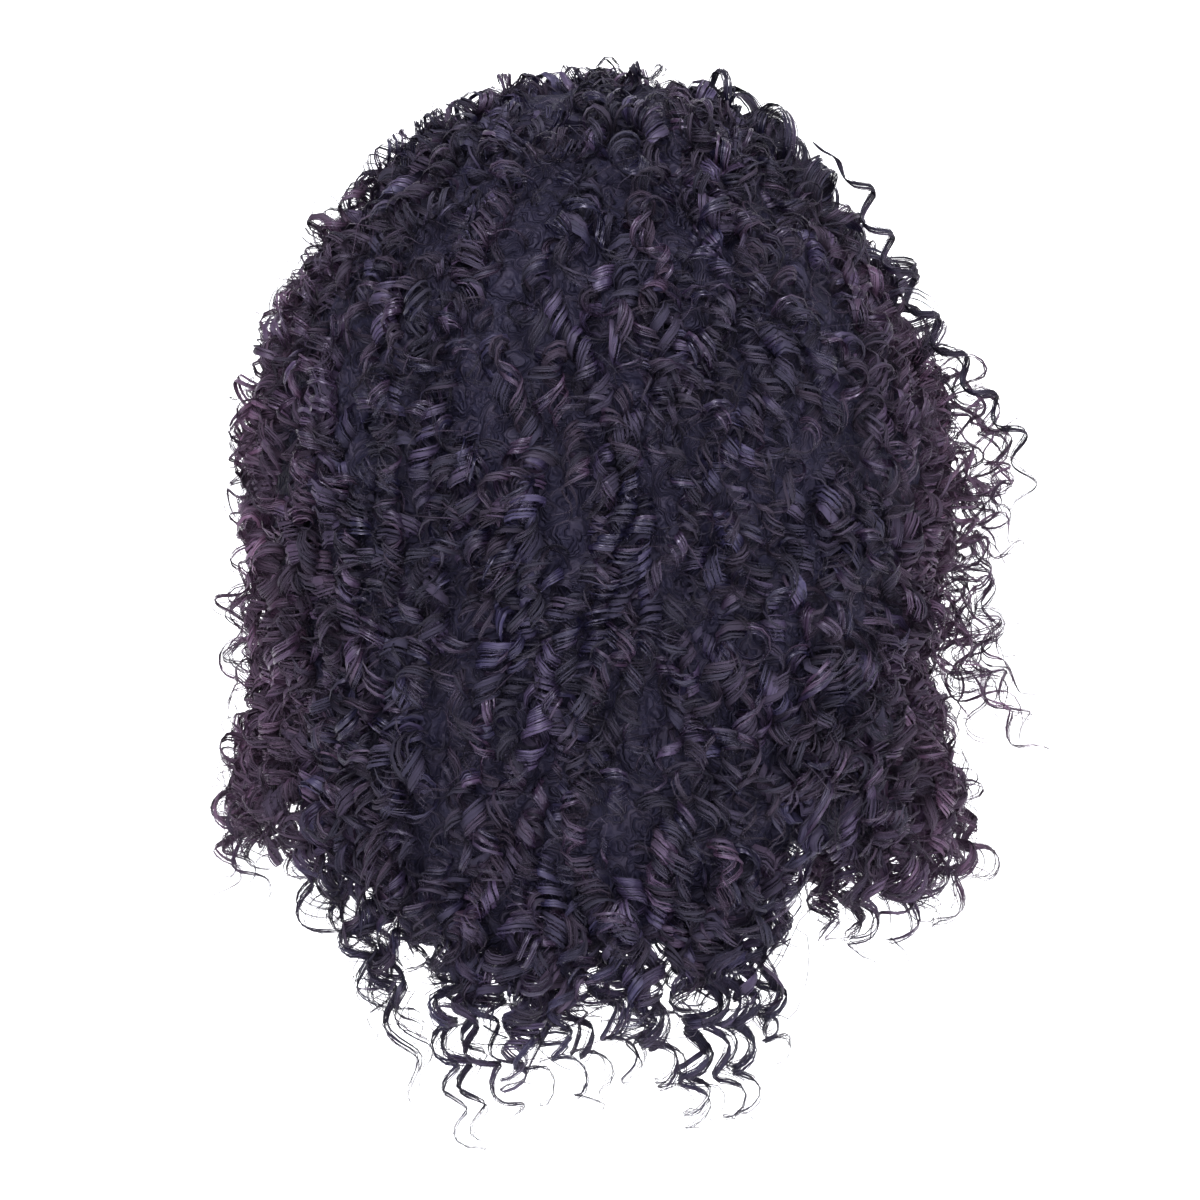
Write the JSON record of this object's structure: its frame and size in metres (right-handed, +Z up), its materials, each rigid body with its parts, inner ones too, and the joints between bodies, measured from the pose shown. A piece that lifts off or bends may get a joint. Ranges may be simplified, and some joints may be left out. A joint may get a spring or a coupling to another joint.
{
  "type": "curly lace front wig",
  "caption": "Shoulder-length wig of tight near-black spiral curls on a stretch cap with a lace front panel, open at the face and hollow for the head, held in its worn shape.",
  "frame": {"origin": "inside of the crown of the cap, where it sits on the head", "axes": "+Z up, +Y the way the wearer looks, +X to the wearer's right"},
  "size_m": [0.3299, 0.2428, 0.4224],
  "materials": {
    "cap_net": "stretch net with sewn rows, near-black",
    "lace": "fine sheer net, brown",
    "hair": "spiral-curled hair, near-black with a faint violet sheen"
  },
  "bodies": {
    "root": {"wig_cap": "cap_net", "lace_front": "lace", "crown_hair": "hair", "front_hair": "hair", "left_hair": "hair", "back_hair": "hair", "right_hair": "hair"}
  },
  "joints": []
}
